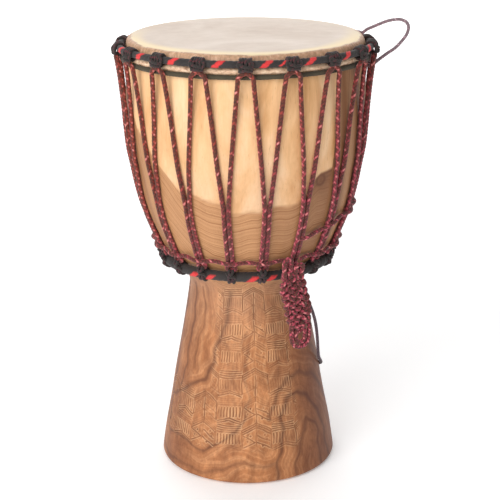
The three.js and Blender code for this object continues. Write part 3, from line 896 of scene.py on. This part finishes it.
def build_bights():
    """The two bights of rope standing over the bottom ring, which the tail hangs from."""
    parts = []
    for apex, height in ((-8.0, 25.0), (9.0, 15.0)):
        shape = ((-0.7, -0.25, 0.0), (-0.9, 0.35, 0.6), (-1.0, 0.8, 1.0), (0.0, 1.0, 1.1), (1.0, 0.8, 1.0),
                 (0.9, 0.35, 0.6), (0.7, -0.25, 0.0))
        arch = leaning([(apex + 5.2 * x, 5.0 * y, PLAIT_TOP + height * z) for x, z, y in shape])
        line = local_to_world(catmull(arch, 150), TAIL_AZIMUTH, TAIL_R, 0.0)
        parts.append(braided(line, PLAIT_ROPE))
    return make_object("tail_bights", *join_parts(parts))


def build_tail():
    """The spare rope: three times down and up again as a flat plait with a round eye at the bottom,
    and its end tucked in at the top."""
    steps = 46
    across = sorted(range(PASSES), key=lambda k: plait_point(k, 1.0)[0])
    order = [across[0], across[5], across[1], across[4], across[2], across[3]]
    runs = [[plait_point(k, i / steps) for i in range(steps + 1)] for k in order]

    def eye(radius):
        if radius < 5:
            return [(-radius, -3.0, 225.0), (-2.4, -4.6, 220.5), (2.4, -4.6, 220.5), (radius, -3.0, 225.0)]
        arc = [(-radius * math.cos(t), 0, EYE_Z - radius * math.sin(t)) for t in np.linspace(0, math.pi, 9)]
        return [(-radius, 0, 221.5)] + arc + [(radius, 0, 221.5)]

    def turn_back(first, last):
        middle = (first[0] + last[0]) / 2
        half = math.copysign(max(abs(last[0] - first[0]) / 2, 3.8), last[0] - first[0])
        return [(middle - half, first[1], PLAIT_TOP + 2.5), (middle - 0.6 * half, 1.5, PLAIT_TOP + 5.6),
                (middle + 0.6 * half, 1.5, PLAIT_TOP + 5.6), (middle + half, last[1], PLAIT_TOP + 2.5)]

    local = [(0.0, -1.0, 312.5), (runs[0][0][0] * 0.6, 1.0, 309.5)]
    for pair, radius in enumerate((EYE_OUTER, EYE_INNER, 4.0)):
        down, up = runs[2 * pair], runs[2 * pair + 1][::-1]
        if pair:
            local += turn_back(local[-1], down[0])
        local += down + eye(radius) + up
    end = local[-1]
    local += [(end[0] * 0.95, end[1] - 0.5, 307.5), (end[0] * 0.75, -2.5, 312.0)]
    line = eased(local_to_world(catmull(leaning(local), 3000), TAIL_AZIMUTH, TAIL_R, 0.0), 15)
    tail = make_object("plaited_tail", *braided(line, PLAIT_ROPE))
    return tail, line


# --- Thin cords ---
HANDLE_POINTS = [
    (177.4, 18.7, 560.2), (182.8, 19.4, 564.0), (190.1, 20.5, 569.2), (201.1, 24, 575.9),
    (210.6, 28, 584.7), (217.6, 33, 593.3), (220.3, 38, 601.9), (217.4, 42, 608.0),
    (210.3, 46, 610.8), (202.6, 50, 610.2), (192.2, 54, 607.4), (181.8, 57, 602.8),
    (173.2, 60.2, 598.6),
]
HANGING_POINTS = [
    (71.4, -98.3, 300), (72.2, -97.9, 287), (76.3, -95.9, 272), (81.8, -90.9, 256),
    (86.3, -84.8, 243.5), (89.5, -78, 232), (92.2, -69, 220), (94.8, -58, 203), (96.9, -46, 183),
    (98.4, -34, 163), (100.4, -20, 147), (103.3, -8, 137), (105.0, 6, 129), (105.4, 18, 123.5),
    (104.8, 26, 120),
]


def thin_cord(name, points, count):
    line = catmull(points, count)
    piece = make_object(name, *braided(line, THIN_RADIUS, sides=12, pitch=3.4, depth=0.26))
    return piece, line


def small_knot(name, centre, radius):
    """An overhand knot: a trefoil of the same thin cord pulled tight."""
    t = np.linspace(0, TAU, 160)
    x = np.sin(t) + 2 * np.sin(2 * t)
    y = np.cos(t) - 2 * np.cos(2 * t)
    line = np.stack([x, y, -1.1 * np.sin(3 * t)], -1) * (0.62 * radius / 3) + np.asarray(centre)
    return make_object(name, *braided(line, THIN_RADIUS * 0.85, sides=10, pitch=3.0, depth=0.25))


def coil_about(centre, axis, radius, turns, pitch):
    """Turns of cord round an axis, as a line of points."""
    axis = np.asarray(axis, float) / np.linalg.norm(axis)
    one = np.cross(axis, (0.2, 0.3, 0.93))
    one /= np.linalg.norm(one)
    two = np.cross(axis, one)
    t = np.linspace(0, TAU * turns, int(60 * turns))
    return (np.asarray(centre) + radius * (np.cos(t)[:, None] * one + np.sin(t)[:, None] * two)
            + ((t / TAU - turns / 2) * pitch)[:, None] * axis)


def tied_cord(name, coil, stub):
    """A coil of thin cord with the short end that the carrying loop is knotted to."""
    parts = [braided(coil, THIN_RADIUS * 0.8, sides=10, pitch=3.2, depth=0.25),
             braided(catmull(stub, 24), THIN_RADIUS, sides=12, pitch=3.4, depth=0.26)]
    return make_object(name, *join_parts(parts))


# --- Studio ---
def build_camera():
    """The camera that a fit of the photograph gives: 18 degrees down, with a long lens."""
    camera = bpy.data.objects.new("camera", bpy.data.cameras.new("camera"))
    bpy.context.scene.collection.objects.link(camera)
    camera.data.sensor_width = 36.0
    camera.data.lens = 100.872
    camera.location = (0.0, -1.851, 0.903)
    camera.rotation_euler = (math.radians(71.94), math.radians(0.35), math.radians(-0.25))
    bpy.context.scene.camera = camera


def area_light(name, location, target, size, power):
    """A rectangular light in watts, aimed at its target."""
    light = bpy.data.objects.new(name, bpy.data.lights.new(name, "AREA"))
    light.data.shape = "RECTANGLE"
    light.data.size, light.data.size_y = size
    light.data.energy = power
    bpy.context.scene.collection.objects.link(light)
    light.location = location
    direction = np.array(target) - np.array(location)
    light.rotation_euler = Vector(direction).to_track_quat("-Z", "Y").to_euler()


def build_studio():
    """White world, a soft key light at the front left, weaker fill and top lights, a lit backdrop
    and a white floor that glows faintly as painted light."""
    world = bpy.data.worlds.new("studio")
    world.use_nodes = True
    world.node_tree.nodes["Background"].inputs["Color"].default_value = (1, 1, 1, 1)
    world.node_tree.nodes["Background"].inputs["Strength"].default_value = 0.42
    bpy.context.scene.world = world
    bpy.context.scene.view_settings.view_transform = "Standard"
    area_light("key", (-1.35, -2.2, 1.5), (0, 0, 0.33), (2.2, 2.2), 64)
    area_light("fill", (1.5, -2.0, 1.2), (0, 0, 0.3), (1.2, 1.4), 1.5)
    area_light("top", (-0.3, 0.1, 2.3), (0, 0, 0.4), (1.6, 1.6), 4)
    area_light("backdrop", (0.0, 6.5, 3.4), (0, 4.5, 0), (9.0, 5.0), 420)
    side = 30000.0
    corners = [(-side, -side, 0), (side, -side, 0), (side, side, 0), (-side, side, 0)]
    floor = make_object("floor", corners, [[0, 1, 2, 3]])
    s = Shader("floor", roughness=0.9)
    # Painted light: the floor glows faintly, which keeps it white and throws a little light up on the drum.
    s.bsdf.inputs["Emission Color"].default_value = (1, 1, 1, 1)
    s.bsdf.inputs["Emission Strength"].default_value = 0.16
    tint = s.ramp(s.noise(3, 2), (0.3, 0.95), (0.7, 0.97))
    floor.data.materials.append(s.finish(tint))


# --- Assembly ---
def dress(piece, material, slot, *replaced, body="drum"):
    """Gives a piece its material, hides the CAD nodes it stands for and attaches it to the body it rides;
    the slot is not used.
    """
    piece.data.materials.append(material)
    if replaced:
        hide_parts(*replaced)
    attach(piece, body)
    return piece


def main():
    build_camera()
    build_studio()

    # In each rope material the last colour is a painted highlight on the strands' crests.
    rope = rope_material("braided_rope", (42, 21, 14), (106, 50, 34), (158, 58, 44), (178, 62, 84),
                         (212, 136, 130))
    cord = rope_material("hitch_cord", (18, 16, 16), (54, 48, 47), (112, 34, 48), (104, 40, 60),
                         (150, 96, 110))
    thin = rope_material("thin_cord", (112, 95, 102), (158, 138, 145), (162, 128, 136),
                         (166, 135, 144), (196, 176, 181))
    # Painted shade: a darker copy of the thin cord's colours for the hanging end, which hangs in shade
    # under the bowl.
    worn = rope_material("shaded_thin_cord", (54, 42, 48), (88, 72, 81), (96, 64, 74), (96, 70, 81),
                         (134, 112, 121))
    crown_cloth = cloth_material("crown_cloth", (34, 30, 30), (62, 56, 54), (204, 33, 38), (230, 72, 70))
    olive_cloth = cloth_material("olive_cloth", (52, 46, 34), (86, 76, 56), (110, 40, 40), (130, 60, 56))
    steel = steel_material()

    dress(build_shell(), wood_material(), "carved_wood", "shell")
    dress(build_skin(), skin_material(), "goatskin", "skin")
    crown = wound_ring("crown_winding", CROWN_R, CROWN_Z, CROWN_WRAP, crown_patches(), seed=3,
                       drop=crown_drop)
    dress(crown, crown_cloth, "black_cloth", "crown_ring_wrap")
    under = wound_ring("under_winding", UNDER_R, UNDER_Z, UNDER_WRAP, [], ridge=0.25, turns=220, seed=4)
    dress(under, olive_cloth, "olive_cloth", "under_ring_wrap")
    bottom = wound_ring("bottom_winding", BOTTOM_R, BOTTOM_Z, BOTTOM_WRAP, bottom_patches(), ridge=0.6,
                        turns=84, seed=5)
    dress(bottom, crown_cloth, "black_cloth", "bottom_ring_wrap")
    rods = (("crown_ring", CROWN_R, CROWN_Z, 3.0, crown_drop),
            ("under_ring", UNDER_R, UNDER_Z, 2.0, None),
            ("bottom_ring", BOTTOM_R, BOTTOM_Z, 3.5, None),
            ("flesh_ring", FLESH_R, FLESH_Z, 2.0, None))
    for name, r, z, core, drop in rods:
        rod = ring_mesh(name + "_rod", r, z, np.full((360, 16), core), drop)
        dress(rod, steel, "ring_steel", name)

    for knot in build_hitches():
        dress(knot, cord, "hitch_cord")
    dress(build_lacing(), rope, "braided_rope", "lacing_rope")
    dress(build_weave(), rope, "braided_rope", "weave_rope")
    dress(build_second_weave(), rope, "braided_rope")

    dress(build_bights(), rope, "braided_rope")
    tail, tail_line = build_tail()
    dress(tail, rope, "braided_rope", "rope_tail", body="tail")

    front = coil_about(place(95.9, 168.75, 557), (0.1, 0.03, 0.99), 5.2, 2.4, 3.6)
    stub = [place(95.9, 173.5, 556.5), (175.4, 18.2, 558.4), (177.9, 18.8, 560.5)]
    front = tied_cord("carrying_loop_front_tie", front, stub)
    dress(front, thin, "thin_cord", "handle_tie_front")
    tangent = (math.cos(math.radians(112)), math.sin(math.radians(112)), 0)
    rear = coil_about(place(112, 167.0, CROWN_Z - 5.4), tangent, 7.2, 1.9, 3.6)
    stub = [(158.5, 65.6, 587.5), (160.8, 65.0, 590.2), (166.6, 62.8, 595.2), (173.6, 60.05, 598.8)]
    rear = tied_cord("carrying_loop_rear_tie", rear, stub)
    dress(rear, thin, "thin_cord", "handle_tie_rear")
    handle, handle_line = thin_cord("carrying_loop", HANDLE_POINTS, 260)
    dress(handle, thin, "thin_cord", "handle_loop", body="handle")

    # The hanging end and its knot take the darker copy of the thin cord, as painted shade.
    hanging, hanging_line = thin_cord("hanging_end", HANGING_POINTS, 320)
    dress(hanging, worn, "thin_cord", "hanging_cord")
    end_knot = small_knot("hanging_end_knot", (104.4, 29.8, 118), 3.4)
    dress(end_knot, worn, "thin_cord", "hanging_cord_knot")


main()
